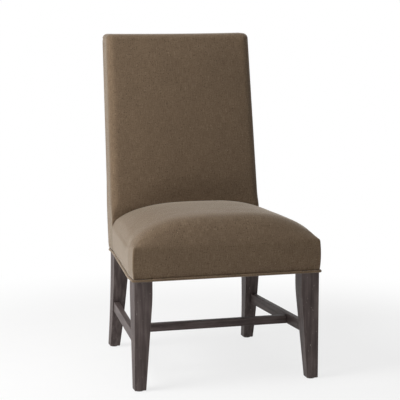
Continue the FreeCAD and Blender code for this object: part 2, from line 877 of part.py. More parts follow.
def main():
    os.makedirs("parts", exist_ok=True)
    front_most = -(welt_diameter + welt_gap)
    rear_most = back_rear(overall_height - back_round_start)
    shift = Vector(0, -(front_most + rear_most) / 2.0, 0)

    def keep(name, shape):
        save(name, shape, shift)

    leg = front_leg_blank()
    post = rear_post_blank()
    side_rail, (side_tenon, side_mortise) = side_rail_parts()
    side_rail = side_rail.fuse(side_tenon).removeSplitter()
    front_rail, front_mortise = front_rail_parts()
    rear_rail, rear_mortise = rear_rail_parts()
    stretcher, stretcher_mortise = side_stretcher_parts(leg, post)
    cross, cross_mortise = cross_stretcher_parts(stretcher)
    crest, crest_tenon, crest_mortise = back_rail_parts(crest_bottom_z, crest_height)
    lower, lower_tenon, lower_mortise = back_rail_parts(lower_rail_bottom_z, lower_rail_height)
    crest = biggest(crest.cut(post).cut(mirrored(post))).fuse(crest_tenon).removeSplitter()
    lower = biggest(lower.cut(post).cut(mirrored(post))).fuse(lower_tenon).removeSplitter()

    front_corner = Vector(front_leg_outer_half - front_block_width, front_block_depth, 0)
    rear_corner = Vector(rear_leg_outer_half - rear_leg_width, rear_post_front_y, 0)
    front_block, front_screws, front_holes = block_and_screws(front_corner, rail_thickness, 1)
    rear_block, rear_screws, rear_holes = block_and_screws(rear_corner, rear_rail_front_y, -1)
    for hole in front_holes:
        front_rail = front_rail.cut(hole).cut(mirrored(hole))
    for hole in rear_holes:
        rear_rail = rear_rail.cut(hole).cut(mirrored(hole))
    for hole in front_holes + rear_holes:
        side_rail = side_rail.cut(hole)
    screws = front_screws + rear_screws

    front_glide_x = front_leg_outer_half - front_foot_width / 2.0
    front_glide_y = front_foot_depth / 2.0
    rear_glide_x = rear_leg_outer_half - rear_foot_width / 2.0
    rear_glide_y = rear_foot_front_y + rear_foot_depth / 2.0
    glides = [glide_at(front_glide_x, front_glide_y), glide_at(rear_glide_x, rear_glide_y)]
    hole_size = glide_nail_radius + glide_nail_gap
    hole_depth = glide_nail_length + glide_nail_gap
    leg_hole = Part.makeCylinder(hole_size, hole_depth, Vector(front_glide_x, front_glide_y, glide_height))
    post_hole = Part.makeCylinder(hole_size, hole_depth, Vector(rear_glide_x, rear_glide_y, glide_height))

    for tool in (front_mortise, side_mortise, stretcher_mortise, leg_hole):
        leg = leg.cut(tool)
    for tool in (side_mortise, rear_mortise, stretcher_mortise, crest_mortise, lower_mortise, post_hole):
        post = post.cut(tool)
    stretcher = stretcher.cut(cross_mortise)

    for side, flip in (("right", False), ("left", True)):
        def put(shape):
            return mirrored(shape) if flip else shape

        keep("front_leg_" + side, put(leg))
        keep("rear_post_" + side, put(post))
        keep("side_seat_rail_" + side, put(side_rail))
        keep("side_stretcher_" + side, put(stretcher))
        keep("corner_block_front_" + side, put(front_block))
        keep("corner_block_rear_" + side, put(rear_block))
    keep("front_seat_rail", front_rail)
    keep("rear_seat_rail", rear_rail)
    keep("cross_stretcher", cross)
    keep("crest_rail", crest)
    keep("lower_back_rail", lower)
    keep("corner_block_screws", screws + [mirrored(s) for s in screws])
    keep("leg_glides", glides + [mirrored(g) for g in glides])

    keep("seat_webbing_lengthwise", seat_web_lengthwise())
    keep("seat_webbing_crosswise", seat_web_crosswise())
    keep("seat_deck_cloth", seat_deck())
    keep("dust_cover", dust_cover(leg, post))
    keep("back_webbing", back_web())

    outer = seat_body(0.0, cover_bottom_z, False)
    hollow = seat_body(cover_thickness, cover_bottom_z, True)
    keep("seat_cover", outer.cut(hollow))
    keep("seat_foam", seat_body(cover_offset, deck_top_z, False))
    keep("seat_welt", seat_welt())

    cover, outside = back_covers()
    keep("back_cover", cover)
    keep("outside_back_cover", outside)
    keep("back_foam", back_foam())
    half = post_outer_half(post_height) - liner_inset
    keep("back_liner", rear_layer(0.0, liner_thickness, half, post_height - liner_top_drop))
    keep("outside_back_batting", back_batting())
    keep("outside_back_tack_strip", tack_strip())


main()
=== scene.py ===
import math
import random

import bpy
import numpy as np
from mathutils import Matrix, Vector, noise


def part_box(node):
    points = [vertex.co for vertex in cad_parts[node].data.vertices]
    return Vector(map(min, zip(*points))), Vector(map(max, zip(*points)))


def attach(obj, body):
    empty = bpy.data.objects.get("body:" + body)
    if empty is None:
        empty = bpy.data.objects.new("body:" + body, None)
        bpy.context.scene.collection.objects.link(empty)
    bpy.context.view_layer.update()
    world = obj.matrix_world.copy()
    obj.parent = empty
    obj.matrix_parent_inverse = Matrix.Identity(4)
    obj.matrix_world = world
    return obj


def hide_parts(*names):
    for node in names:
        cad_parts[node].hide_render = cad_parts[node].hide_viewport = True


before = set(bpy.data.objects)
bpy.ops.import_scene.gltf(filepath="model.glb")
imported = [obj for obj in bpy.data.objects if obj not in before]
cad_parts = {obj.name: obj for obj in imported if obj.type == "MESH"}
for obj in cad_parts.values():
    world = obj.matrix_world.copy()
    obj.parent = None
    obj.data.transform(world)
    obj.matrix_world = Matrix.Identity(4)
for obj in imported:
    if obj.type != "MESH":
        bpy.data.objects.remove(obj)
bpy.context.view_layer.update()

mm = 0.001
random.seed(4)

# Everything soft is laid out in millimetres: X across, Y back from the front legs' faces, Z up.
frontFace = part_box("front_leg_right")[0][1] / mm
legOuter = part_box("front_leg_right")[1][0] / mm
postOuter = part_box("rear_post_right")[1][0] / mm
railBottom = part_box("front_seat_rail")[0][2] / mm
clothOut = 2.4  # how far the cloth's face lies outside the frame
clothThickness = 1.6

# Line spacing near the ends of a lattice, closest where the edges turn
nearEnds = [0, 1.2, 2.4, 3.8, 5.5, 7.5, 10, 13, 17, 22, 28, 35]


# Small helpers

def toLinear(code):
    # sRGB hex such as "#6b5a49" to the linear colour a shader takes
    parts = [int(code[i:i + 2], 16) / 255 for i in (1, 3, 5)]
    return [c / 12.92 if c <= 0.04045 else ((c + 0.055) / 1.055) ** 2.4 for c in parts] + [1.0]


def addNode(tree, kind, settings=None, values=None, links=None):
    # one node with its settings, its socket values and what feeds it
    node = tree.nodes.new(kind)
    for name, value in (settings or {}).items():
        setattr(node, name, value)
    for socket, value in (values or {}).items():
        node.inputs[socket].default_value = value
    for socket, source in (links or {}).items():
        tree.links.new(source, node.inputs[socket])
    return node


def newMaterial(name):
    material = bpy.data.materials.new(name)
    material.use_nodes = True
    material.node_tree.nodes.clear()
    return material, material.node_tree


def closeMaterial(tree, shader):
    addNode(tree, "ShaderNodeOutputMaterial", links={"Surface": shader.outputs["BSDF"]})


def addMath(tree, operation, values=None, links=None):
    return addNode(tree, "ShaderNodeMath", {"operation": operation}, values, links).outputs[0]


def addRange(tree, source, values):
    # maps a value from one range to another
    return addNode(tree, "ShaderNodeMapRange", values=values, links={"Value": source}).outputs["Result"]


def addOver(tree, base, share, code):
    # lays a colour over the base by this share
    mixed = addNode(tree, "ShaderNodeMixRGB", values={"Color2": toLinear(code)},
                    links={"Fac": share, "Color1": base})
    return mixed.outputs["Color"]


def addRamp(tree, source, low, high, middle=None, ends=(0.0, 1.0)):
    # colours along a value, from low to high, with one half way if it is given
    ramp = addNode(tree, "ShaderNodeValToRGB", links={"Fac": source})
    for element, place, code in zip(ramp.color_ramp.elements, ends, (low, high)):
        element.position = place
        element.color = toLinear(code)
    if middle:
        ramp.color_ramp.elements.new(0.5).color = toLinear(middle)
    return ramp.outputs["Color"]


def addCells(tree, place, size, detail, seed, roughness):
    # noise whose cells are size mm along X, Y and Z
    scaled = addNode(tree, "ShaderNodeVectorMath", {"operation": "DIVIDE"}, {1: size}, {0: place})
    cells = addNode(tree, "ShaderNodeTexNoise", {"noise_dimensions": "4D"},
                    {"W": seed, "Scale": 1.0, "Detail": detail, "Roughness": roughness},
                    {"Vector": scaled.outputs["Vector"]})
    return cells.outputs["Fac"]


def inMillimetres(tree, place):
    scaled = addNode(tree, "ShaderNodeVectorMath", {"operation": "SCALE"}, {"Scale": 1 / mm},
                     {"Vector": place})
    return scaled.outputs["Vector"]


def meshPiece(name, points, faces, material, cloth=None):
    # points in layout millimetres, cloth as the flat cloth's own coordinates in metres
    mesh = bpy.data.meshes.new(name)
    mesh.from_pydata([(x * mm, (y + frontFace) * mm, z * mm) for x, y, z in points], [], faces)
    if cloth is not None:
        layer = mesh.attributes.new("cloth", "FLOAT_VECTOR", "POINT")
        layer.data.foreach_set("vector", np.asarray(cloth, dtype=np.float32).ravel())
    mesh.polygons.foreach_set("use_smooth", [True] * len(mesh.polygons))
    mesh.update()
    piece = bpy.data.objects.new(name, mesh)
    bpy.context.scene.collection.objects.link(piece)
    piece.data.materials.append(material)
    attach(piece, "root")
    return piece


def smoothStep(low, high, value):
    t = np.clip((value - low) / (high - low), 0, 1)
    return t * t * (3 - 2 * t)


def roundedMeet(a, b, radius):
    # two surfaces, negative inside, that meet in an edge of this radius
    outside = np.hypot(np.maximum(a + radius, 0), np.maximum(b + radius, 0))
    return np.minimum(np.maximum(a, b), -radius) + outside


def softMeet(a, b, width):
    # two surfaces that run into each other over this width, at any angle
    near = np.maximum(width - np.abs(a - b), 0) / width
    return np.maximum(a, b) + near * near * width / 4


def gridLines(low, high, step, edge):
    # lines from low to high, close together within edge of both ends
    near = [n for n in nearEnds if n <= edge]
    count = max(1, round((high - low - 2 * near[-1]) / step))
    middle = np.linspace(low + near[-1], high - near[-1], count + 1)[1:-1]
    return np.array([low + n for n in near] + list(middle) + [high - n for n in reversed(near)])


def withLines(lines, extra):
    # adds lines that a seam or a cut-out needs, in place of the nearest ones
    lines = np.array(lines)
    for value in extra:
        lines[np.argmin(np.abs(lines - value))] = value
    return np.sort(lines)


def nearestLine(lines, value):
    return int(np.argmin(np.abs(lines - value)))


def boxShell(counts, wanted):
    # the outer faces of a box lattice as quads; wanted(side, i, j, k) picks them
    lastI, lastJ, lastK = (count - 1 for count in counts)
    faces = []
    for i in range(lastI):
        for j in range(lastJ):
            if wanted("top", i, j, lastK):
                faces.append([(i, j, lastK), (i + 1, j, lastK), (i + 1, j + 1, lastK), (i, j + 1, lastK)])
            if wanted("bottom", i, j, 0):
                faces.append([(i, j, 0), (i, j + 1, 0), (i + 1, j + 1, 0), (i + 1, j, 0)])
        for k in range(lastK):
            if wanted("front", i, 0, k):
                faces.append([(i, 0, k), (i + 1, 0, k), (i + 1, 0, k + 1), (i, 0, k + 1)])
            if wanted("rear", i, lastJ, k):
                faces.append([(i, lastJ, k), (i, lastJ, k + 1), (i + 1, lastJ, k + 1), (i + 1, lastJ, k)])
    for j in range(lastJ):
        for k in range(lastK):
            if wanted("left", 0, j, k):
                faces.append([(0, j, k), (0, j, k + 1), (0, j + 1, k + 1), (0, j + 1, k)])
            if wanted("right", lastI, j, k):
                faces.append([(lastI, j, k), (lastI, j + 1, k), (lastI, j + 1, k + 1), (lastI, j, k + 1)])
    keys = sorted({corner for face in faces for corner in face})
    index = {key: n for n, key in enumerate(keys)}
    return np.array(keys).T, [[index[corner] for corner in face] for face in faces]


def pullTo(surface, core, box, reach=1.6, halvings=34):
    # moves each box point along its ray from the core until it meets the surface
    low = np.zeros(len(box))
    high = np.full(len(box), reach)
    for _ in range(halvings):
        middle = (low + high) / 2
        p = core + (box - core) * middle[:, None]
        inside = surface(p[:, 0], p[:, 1], p[:, 2]) < 0
        low = np.where(inside, middle, low)
        high = np.where(inside, high, middle)
    return core + (box - core) * ((low + high) / 2)[:, None]


def ripple(points, waves):
    # slow unevenness of hand-pulled cloth; each wave is its size, height and seed
    lift = np.zeros(len(points))
    for size, height, seed in waves:
        lift += [height * noise.noise(Vector((x / size, y / size + seed, z / size))) for x, y, z in points]
    return lift


print("helpers ready")


# Materials

fabric = {
    "dark": "#524232",
    "middle": "#715e4a",
    "light": "#917d66",
    "fleckDark": "#30261d",
    "fleckLight": "#ad9a80",
    "threadSpacing": 1.5,  # mm; the real one is about 0.7, too fine to show here
    "slubLength": 26.0,
    "slubWidth": 1.7,
    "weftShare": 0.6,
    "heatherSize": 3.2,
    "heatherShare": 0.9,
    "fleckSize": (2.24, 4.8, 1.0),
    "fleckStrength": 0.8,
    "cloudSize": (70.0, 90.0, 70.0),
    "cloudDepth": 0.05,
    "threadRelief": 0.45,
    "bumpHeight": 0.35,  # mm
    "roughness": 0.86,
    "specular": 0.25,
    "sheen": 0.85,
    "sheenRoughness": 0.42,
    "sheenTint": "#e6dccf",
}


def polyesterLinenWeave(name, turn=0.0):
    # Polyester and linen blend, plain weave of heathered yarn: uneven threads give a
    # mottled taupe with short slubs, and raised fibre ends catch the light at the edges.
    material, tree = newMaterial(name)
    cloth = addNode(tree, "ShaderNodeAttribute", {"attribute_name": "cloth"})
    turned = addNode(tree, "ShaderNodeVectorRotate", {"rotation_type": "Z_AXIS"}, {"Angle": turn},
                     {"Vector": cloth.outputs["Vector"]})
    place = inMillimetres(tree, turned.outputs["Vector"])
    split = addNode(tree, "ShaderNodeSeparateXYZ", links={"Vector": place})

    def threads(axis):
        # one set of threads as a sine over the cloth
        turns = addMath(tree, "MULTIPLY", {1: math.pi / fabric["threadSpacing"]}, {0: split.outputs[axis]})
        return addMath(tree, "SINE", links={0: turns})

    overUnder = addMath(tree, "MULTIPLY", links={0: threads("X"), 1: threads("Y")})
    warp = addCells(tree, place, (fabric["slubWidth"], fabric["slubLength"], 1.0), 2.0, 1.0, 0.6)
    weft = addCells(tree, place, (fabric["slubLength"], fabric["slubWidth"], 1.0), 2.0, 5.0, 0.6)
    heather = addCells(tree, place, (fabric["heatherSize"],) * 3, 3.0, 9.0, 0.6)
    flecks = addCells(tree, place, fabric["fleckSize"], 1.0, 13.0, 0.6)
    cloudy = addCells(tree, place, fabric["cloudSize"], 2.0, 17.0, 0.6)

    slubs = addMath(tree, "MULTIPLY_ADD", {1: fabric["weftShare"]}, {0: weft, 2: warp})
    mixed = addMath(tree, "MULTIPLY_ADD", {1: fabric["heatherShare"]}, {0: heather, 2: slubs})
    tone = addRange(tree, mixed, {"From Min": 0.8, "From Max": 1.7})
    colour = addRamp(tree, tone, fabric["dark"], fabric["light"], fabric["middle"])
    darkMask = addRange(tree, flecks, {"From Min": 0.40, "From Max": 0.33, "To Max": fabric["fleckStrength"]})
    lightMask = addRange(tree, flecks, {"From Min": 0.69, "From Max": 0.76})
    colour = addOver(tree, colour, darkMask, fabric["fleckDark"])
    colour = addOver(tree, colour, lightMask, fabric["fleckLight"])
    shade = addRange(tree, cloudy, {"From Min": 0.3, "From Max": 0.7, "To Min": 1 - fabric["cloudDepth"],
                                    "To Max": 1 + fabric["cloudDepth"]})
    body = addNode(tree, "ShaderNodeVectorMath", {"operation": "SCALE"},
                   links={"Vector": colour, "Scale": shade})

    height = addMath(tree, "MULTIPLY_ADD", {1: fabric["threadRelief"]}, {0: overUnder, 2: slubs})
    bump = addNode(tree, "ShaderNodeBump", values={"Strength": 0.55, "Distance": fabric["bumpHeight"] * mm},
                   links={"Height": height})
    shader = addNode(tree, "ShaderNodeBsdfPrincipled",
                     values={"Roughness": fabric["roughness"], "IOR": 1.45,
                             "Specular IOR Level": fabric["specular"], "Sheen Weight": fabric["sheen"],
                             "Sheen Roughness": fabric["sheenRoughness"],
                             "Sheen Tint": toLinear(fabric["sheenTint"])},
                     links={"Base Color": body.outputs["Vector"], "Normal": bump.outputs["Normal"]})
    closeMaterial(tree, shader)
    return material


wood = {
    "dark": "#372d2b",
    "middle": "#534846",
    "light": "#6d625f",
    "worn": "#8d847c",
    "poreSize": (0.9, 14.0),  # mm across and along the grain
    "bandSize": (11.0, 190.0),
    "blotchSize": (40.0, 90.0),
    "nickSize": (3.15, 9.0),
    "poreStrength": 0.6,
    "rubWidth": 1.6,
    "arris": 1.3,
    "bumpHeight": 0.3,
    "specular": 0.22,
    "roughness": (0.42, 0.62),
}


def stainedHardwood(name, grainAxis):
    # Solid hardwood stained charcoal brown under satin lacquer, hand distressed: long soft
    # grain, fine dark pores, pale nicks where the stain was broken, and rubbed edges.
    material, tree = newMaterial(name)
    place = inMillimetres(tree, addNode(tree, "ShaderNodeTexCoord").outputs["Object"])

    def grained(cell, detail, seed):
        # noise whose cells are cell mm across and along the grain
        size = [cell[0]] * 3
        size[grainAxis] = cell[1]
        return addCells(tree, place, size, detail, seed, 0.55)

    bands = grained(wood["bandSize"], 4.0, 2.0)
    pores = grained(wood["poreSize"], 2.0, 7.0)
    blotch = grained(wood["blotchSize"], 2.0, 11.0)
    nicks = grained(wood["nickSize"], 1.0, 15.0)

    mixed = addMath(tree, "MULTIPLY_ADD", {1: 0.5}, {0: blotch, 2: bands})
    tone = addRange(tree, mixed, {"From Min": 0.5, "From Max": 1.0})
    colour = addRamp(tree, tone, wood["dark"], wood["light"], wood["middle"])
    poreMask = addRange(tree, pores, {"From Min": 0.40, "From Max": 0.30, "To Max": wood["poreStrength"]})
    colour = addOver(tree, colour, poreMask, wood["dark"])
    nickMask = addRange(tree, nicks, {"From Min": 0.715, "From Max": 0.75})

    rounded = addNode(tree, "ShaderNodeBevel", {"samples": 6}, {"Radius": wood["rubWidth"] * mm})
    plain = addNode(tree, "ShaderNodeNewGeometry")
    agree = addNode(tree, "ShaderNodeVectorMath", {"operation": "DOT_PRODUCT"},
                    links={0: rounded.outputs["Normal"], 1: plain.outputs["Normal"]})
    edge = addRange(tree, agree.outputs["Value"], {"From Min": 0.995, "From Max": 0.90})
    rubbed = addMath(tree, "MULTIPLY", links={0: edge, 1: blotch})
    wear = addNode(tree, "ShaderNodeMath", {"operation": "MAXIMUM", "use_clamp": True},
                   links={0: rubbed, 1: nickMask})
    colour = addOver(tree, colour, wear.outputs[0], wood["worn"])

    relief = addMath(tree, "SUBTRACT", links={0: bands, 1: poreMask})
    dented = addMath(tree, "SUBTRACT", links={0: relief, 1: nickMask})
    bump = addNode(tree, "ShaderNodeBump", values={"Strength": 0.35, "Distance": wood["bumpHeight"] * mm},
                   links={"Height": dented})
    smooth, rough = wood["roughness"]
    gloss = addRange(tree, blotch, {"To Min": smooth, "To Max": rough})
    shader = addNode(tree, "ShaderNodeBsdfPrincipled",
                     values={"IOR": 1.5, "Specular IOR Level": wood["specular"]},
                     links={"Base Color": colour, "Roughness": gloss, "Normal": bump.outputs["Normal"]})
    closeMaterial(tree, shader)
    return material


def speckled(name, low, high, size, roughness, depth, metallic=0.0):
    # plain finish with a fine two-tone grain, for what is sealed inside or underneath;
    # size in mm along X, Y and Z, depth of the grain in mm
    material, tree = newMaterial(name)
    place = addNode(tree, "ShaderNodeTexCoord")
    cells = addNode(tree, "ShaderNodeVectorMath", {"operation": "DIVIDE"}, {1: [s * mm for s in size]},
                    {0: place.outputs["Object"]})
    grain = addNode(tree, "ShaderNodeTexNoise", values={"Scale": 1.0, "Detail": 3.0},
                    links={"Vector": cells.outputs["Vector"]})
    colour = addRamp(tree, grain.outputs["Fac"], low, high, ends=(0.3, 0.7))
    bump = addNode(tree, "ShaderNodeBump", values={"Strength": 0.5, "Distance": depth * mm},
                   links={"Height": grain.outputs["Fac"]})
    shader = addNode(tree, "ShaderNodeBsdfPrincipled",
                     values={"Roughness": roughness, "Metallic": metallic},
                     links={"Base Color": colour, "Normal": bump.outputs["Normal"]})
    closeMaterial(tree, shader)
    return material


coverCloth = polyesterLinenWeave("polyester linen plain weave")
biasCloth = polyesterLinenWeave("polyester linen cut on the bias", math.radians(45))
legWood = stainedHardwood("charcoal stained hardwood upright", 2)
sideWood = stainedHardwood("charcoal stained hardwood lengthwise", 1)
crossWood = stainedHardwood("charcoal stained hardwood crosswise", 0)

# Planed beech, bare: pale and close grained
beech = speckled("planed beech", "#b08d66", "#c9a97f", (3, 3, 40), 0.6, 0.1)
# Polyurethane foam, cut from a block: pale yellow with open cells
foam = speckled("polyurethane foam", "#d8cfa0", "#e6dfb8", (1.5, 1.5, 1.5), 0.95, 0.5)
# Polyester fibre, bonded into a loose white sheet
batting = speckled("bonded polyester batting", "#dedbd2", "#f0eee8", (4, 4, 4), 0.95, 0.6)
# Jute, woven tight into webs: brown and coarsely ribbed
jute = speckled("jute webbing", "#7d6545", "#a1855e", (1.2, 1.2, 1.2), 0.9, 0.4)
# Unbleached cotton, plain woven: a flat cream deck cloth
cotton = speckled("unbleached cotton", "#b5a88c", "#cabfa4", (0.8, 0.8, 0.8), 0.9, 0.2)
# Black polypropylene, spunbonded from loose fibres: a dull felted film under the seat
cambric = speckled("spunbonded polypropylene", "#0d0d0d", "#1d1c1b", (0.9, 0.9, 0.9), 0.85, 0.15)
# Pressed board: grey brown fibre
board = speckled("pressed board", "#6e5c46", "#8a765c", (2, 2, 2), 0.85, 0.2)
# Steel, plated with zinc: bright grey with a faint crystal pattern
zinc = speckled("zinc plated steel", "#b4b6b6", "#cfd1d0", (1.5, 1.5, 1.5), 0.35, 0.03, 1.0)
# Polyethylene, moulded: dull near-black foot glides
polyethylene = speckled("moulded polyethylene", "#161413", "#232020", (0.8, 0.8, 0.8), 0.5, 0.05)

print("materials ready")


# The seat: one closed crown over vertical sides, crisp only at the front corners

seat = {
    "edge": 427.0,
    "crown": 77.0,
    "crownPower": 3.45,
    "crownSoftness": 0.88,
    "rollLength": 92.0,
    "rollPower": 3.15,
    "lip": 3.0,
    "fallStart": 240.0,
    "fallLength": 233.5,
    "fall": 0.36,
    "rear": 473.2,
    "bottom": 334.3,
    "fullness": 3.3,
    "frontFullness": 1.2,
    "cornerRadius": 4.0,
    "edgeRadiusFront": 6.0,
    "edgeRadiusSide": 24.0,
    "legDepth": 60.0,
    "postFront": 459.0,
    "tuck": 0.7,
    "tuckHeight": 4.5,
    "turnDown": 10.0,  # how far below the edge the cloth reaches behind the crown
    "softFrom": 15.0,
    "softTo": 130.0,
    "foamInset": 3.6,
    "foamBottom": 411.6,
    "foamRadius": 3.0,
    "foamCore": 418.0,
    "coverCore": 398.0,
    "coreInset": 42.0,
    "step": 8.0,
    "ripples": ((85, 1.1, 3.0), (30, 0.35, 9.0)),
    "swellCap": 3.0,
    "swellRounds": 60,
    "fill": 0.9,
}


def seatHalf(y):
    t = np.clip((y - seat["legDepth"]) / (seat["postFront"] - seat["legDepth"]), 0, 1)
    return legOuter + clothOut - (legOuter - postOuter) * t


def seatTop(x, y):
    share = np.clip(np.abs(x) / seatHalf(y), 0, 0.999)
    lift = (1 - share ** seat["crownPower"]) ** seat["crownSoftness"]
    reach = y + clothOut
    roll = 1 - (1 - np.clip(reach / seat["rollLength"], 0, 1)) ** seat["rollPower"]
    fall = np.clip((reach - seat["fallStart"]) / seat["fallLength"], 0, None) ** 2
    crown = np.maximum(seat["lip"], seat["crown"] * roll * (1 - seat["fall"] * fall))
    return seat["edge"] + crown * lift


def seatSurface(x, y, z):
    t = np.clip((z - seat["bottom"]) / (seat["edge"] - seat["bottom"]), 0, 1)
    full = 4 * t * (1 - t)
    side = np.abs(x) - seatHalf(y) - seat["fullness"] * full
    front = -clothOut - seat["frontFullness"] * full - y
    rear = y - seat["rear"]
    slopeX = (seatTop(x + 1, y) - seatTop(x - 1, y)) / 2
    slopeY = (seatTop(x, y + 1) - seatTop(x, y - 1)) / 2
    top = (z - seatTop(x, y)) / np.sqrt(1 + slopeX ** 2 + slopeY ** 2)
    softness = smoothStep(seat["softFrom"], seat["softTo"], y)
    edgeRadius = seat["edgeRadiusFront"] + (seat["edgeRadiusSide"] - seat["edgeRadiusFront"]) * softness
    walls = roundedMeet(side, front, seat["cornerRadius"])
    walls = roundedMeet(walls, rear, seat["cornerRadius"])
    return softMeet(walls, top, edgeRadius)


def shellOver(surface, bottom, coreZ, wanted):
    # box lattice over the seat, pulled in from all sides to the surface
    half = legOuter + clothOut
    xs = gridLines(-half, half, seat["step"], edge=35) / half
    ys = gridLines(-clothOut, seat["rear"], seat["step"], edge=28)
    zs = gridLines(bottom, seat["edge"] + seat["crown"], seat["step"] * 0.7, edge=5)
    (i, j, k), faces = boxShell((len(xs), len(ys), len(zs)), lambda side, i, j, k: wanted(side, zs[k]))
    box = np.stack([xs[i] * seatHalf(ys[j]), ys[j], zs[k]], axis=1)
    reach = seatHalf(box[:, 1]) - seat["coreInset"]
    core = np.stack([np.clip(box[:, 0], -reach, reach),
                     np.clip(box[:, 1], seat["coreInset"], seat["rear"] - seat["coreInset"]),
                     np.minimum(box[:, 2], coreZ)], axis=1)
    onSide = (i == 0) | (i == len(xs) - 1)
    return pullTo(surface, core, box), faces, onSide, j == 0


def makeSeatCover():
    # open below, and pulled down between seat and back only as far as it can be seen
    def wanted(side, z):
        return side != "bottom" and (side != "rear" or z > seat["edge"] - seat["turnDown"])

    points, faces, onSide, onFront = shellOver(seatSurface, seat["bottom"], seat["coverCore"], wanted)
    # the cloth turns in a little at its lower edge, where it is sewn to the welt
    tuck = seat["tuck"] * smoothStep(seat["bottom"] + seat["tuckHeight"], seat["bottom"], points[:, 2])
    points[:, 0] -= np.sign(points[:, 0]) * onSide * tuck
    points[:, 1] += onFront * tuck
    settled = ripple(points, seat["ripples"])
    lifted = smoothStep(seat["edge"] - 60, seat["edge"] + 20, points[:, 2])
    points[:, 2] += settled * lifted
    points[:, 1] += settled * 0.8 * (1 - lifted) * onFront
    # cloth coordinates: across the chair, and along it over the front and the crown
    along = points[:, 1] + np.where(onFront, points[:, 2] - seat["edge"], 0)
    turned = np.sign(points[:, 0]) * (legOuter + seat["edge"] - points[:, 2])
    cloth = np.stack([np.where(onSide, turned, points[:, 0]), along, 0 * along], axis=1) * mm
    piece = meshPiece("seatCover", points, faces, coverCloth, cloth)
    sewn = (points[:, 2] < seat["bottom"] + 3) | (points[:, 1] > seat["rear"] - 12)
    settleCloth(piece, sewn, seat["swellCap"], seat["swellRounds"])
    thicken(piece, clothThickness, -1)
    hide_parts("seat_cover")


def makeSeatFoam():
    # the pad inside follows the cover, a little more than a cloth's thickness in
    def surface(x, y, z):
        inside = seatSurface(x, y, z) + seat["foamInset"]
        return roundedMeet(inside, seat["foamBottom"] - z, seat["foamRadius"])

    points, faces, _, _ = shellOver(surface, seat["foamBottom"], seat["foamCore"], lambda side, z: True)
    piece = meshPiece("seatFoamPad", points, faces, foam)
    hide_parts("seat_foam")


clothSettings = {
    "quality": 6,
    "mass": 0.3,
    "tension_stiffness": 30,
    "compression_stiffness": 12,
    "shear_stiffness": 8,
    "bending_stiffness": 0.6,
    "vertex_group_mass": "held",
    "use_pressure": True,
    "uniform_pressure_force": 4.0,
}
settleFrames = 20
inwardLimit = 0.5  # mm; more would let the pad show


def settleCloth(piece, held, cap, rounds):
    # inflates the cloth against its held edges, then evens the swell out over the tight
    # cloth, and keeps each point's move within the cap
    trial = piece.copy()
    trial.data = piece.data.copy()
    trial.modifiers.clear()
    bpy.context.scene.collection.objects.link(trial)
    trial.vertex_groups.new(name="held").add([int(n) for n in np.flatnonzero(held)], 1.0, "REPLACE")
    cloth = trial.modifiers.new("cloth", "CLOTH")
    for name, value in clothSettings.items():
        setattr(cloth.settings, name, value)
    cloth.settings.effector_weights.gravity = 0.0
    cloth.collision_settings.use_collision = False
    for frameNumber in range(1, settleFrames + 1):
        bpy.context.scene.frame_set(frameNumber)
    settled = trial.evaluated_get(bpy.context.evaluated_depsgraph_get()).data
    before = np.empty(len(piece.data.vertices) * 3, dtype=np.float32)
    after = np.empty_like(before)
    normals = np.empty_like(before)
    piece.data.vertices.foreach_get("co", before)
    settled.vertices.foreach_get("co", after)
    piece.data.vertices.foreach_get("normal", normals)
    before, after, normals = (a.reshape(-1, 3) for a in (before, after, normals))
    swell = np.einsum("ij,ij->i", after - before, normals) / mm
    swell = np.maximum(cap * np.tanh(swell / cap), -inwardLimit) * ~held
    ends = np.empty(len(piece.data.edges) * 2, dtype=np.int32)
    piece.data.edges.foreach_get("vertices", ends)
    a, b = ends.reshape(-1, 2).T
    weight = 1 / (np.linalg.norm(before[a] - before[b], axis=1) + mm)
    total = np.bincount(a, weight, len(held)) + np.bincount(b, weight, len(held))
    for _ in range(rounds):
        around = (np.bincount(a, swell[b] * weight, len(held))
                  + np.bincount(b, swell[a] * weight, len(held))) / total
        swell = around * ~held
    print(piece.name, "swells by up to", round(float(swell.max()), 1), "mm")
    piece.data.vertices.foreach_set("co", (before + normals * swell[:, None] * mm).ravel())
    piece.data.update()
    bpy.context.scene.frame_set(1)
    bpy.data.objects.remove(trial)


def thicken(piece, depth, offset):
    # gives a cloth shell its thickness: -1 for all of it inwards, 0 for half each way
    solidify = piece.modifiers.new("thickness", "SOLIDIFY")
    solidify.thickness = depth * mm
    solidify.offset = offset


makeSeatCover()
makeSeatFoam()
print("seat cover made")


# The back: inside cover over the front, sides and top, outside panel with its blind seam

back = {
    "front": 473.5,
    "leanStart": 473.0,
    "slope": 0.1765,
    "depth": 88.0,
    "halfLow": postOuter + clothOut,
    "halfTop": 238.0,
    "top": 1017.0,
    "topDip": 1.8,
    "crown": 7.0,
    "frontRadius": 26.0,
    "tightRadius": 3.5,
    "rearRadius": 12.0,
    "topRadius": 17.0,
    "bellyTop": 547.0,
    "bellyBottom": 352.0,
    "bellyRear": 551.0,
    "bellyBow": 3.0,
    "hem": 327.3,
    "hemRadius": 4.0,
    "legCutHeight": 331.0,
    "hemRear": 526.0,
    "sideBottom": 334.3,
    "frontBottom": 415.0,
    "seamWrap": 14.0,
    "seamTop": 998.0,
    "legRear": 515.4,
    "seamDepth": 1.6,
    "besideDepth": 0.25,
    "endFade": 90.0,
    "openOver": 75.0,
    "foamInset": 4.4,
    "foamDepth": 36.0,
    "foamGap": 1.5,
    "postTop": 993.0,
    "coreInset": 36.0,
    "coreFront": 34.0,
    "coreEnd": 14.0,
    "step": 9.0,
    "ripples": ((110, 1.2, 21.0), (34, 0.3, 27.0)),
    "swellCap": 1.6,
    "swellRounds": 80,
    "fill": 0.8,
}


def backFront(z):
    return back["front"] + back["slope"] * np.maximum(0, z - back["leanStart"])


